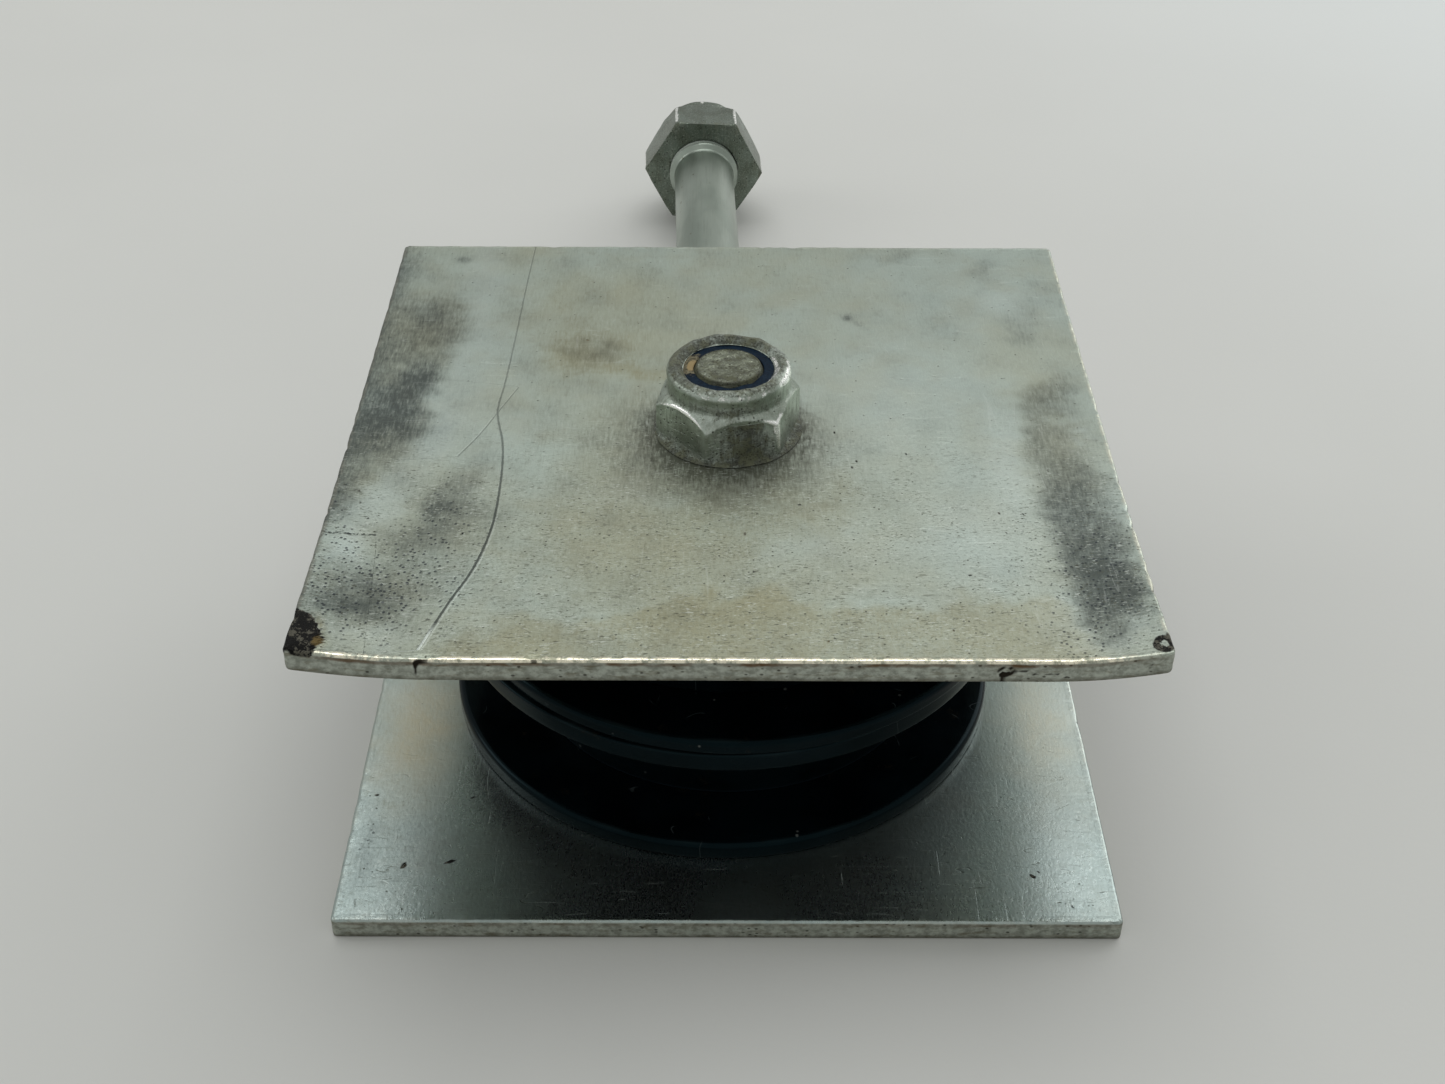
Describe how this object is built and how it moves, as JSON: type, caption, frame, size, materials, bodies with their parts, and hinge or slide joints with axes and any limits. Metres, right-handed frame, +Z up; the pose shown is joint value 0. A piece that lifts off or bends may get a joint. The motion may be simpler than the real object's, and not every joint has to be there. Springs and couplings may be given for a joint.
{
  "type": "swivel tie bolt anchor",
  "caption": "Two square steel plates clamped round a black flanged hub on a stud, with a tie bolt that swings round the stud and carries a lock nut.",
  "frame": {"origin": "where the clamp stud's axis meets the base plate's underside", "axes": "+Z up along the clamp stud, +Y the side that the tie bolt points to at rest"},
  "size_m": [0.1, 0.2129, 0.0552],
  "materials": {
    "plate_zinc": "zinc plate, tarnished and scratched",
    "fastener_zinc": "zinc plated, worn and dirty",
    "tie_steel": "zinc plated steel",
    "weld_steel": "bare weld",
    "black_gloss": "glossy black moulding",
    "black_coated_steel": "glossy black coating",
    "bush_bronze": "sintered bronze",
    "navy_nylon": "navy nylon, dirty"
  },
  "bodies": {
    "anchor": {"base_plate": "plate_zinc", "clamp_stud": "fastener_zinc", "stud_weld": "weld_steel", "spacer_tube": "fastener_zinc", "lower_disc": "black_gloss", "middle_disc": "black_gloss", "upper_collar": "black_gloss", "upper_disc": "black_gloss", "top_plate": "plate_zinc", "clamp_nut": "fastener_zinc", "clamp_nut_ring": "navy_nylon"},
    "swivel": {"swivel_collar": "black_coated_steel", "collar_bush": "bush_bronze", "collar_rim": "black_gloss", "tie_bolt": "tie_steel", "tie_nut": "tie_steel", "tie_nut_ring": "navy_nylon"}
  },
  "joints": [
    {"name": "tie_swing", "type": "hinge", "parent": "anchor", "child": "swivel", "pos_m": [0, 0, 0.01225], "axis": [0, 0, 1], "continuous": true}
  ]
}
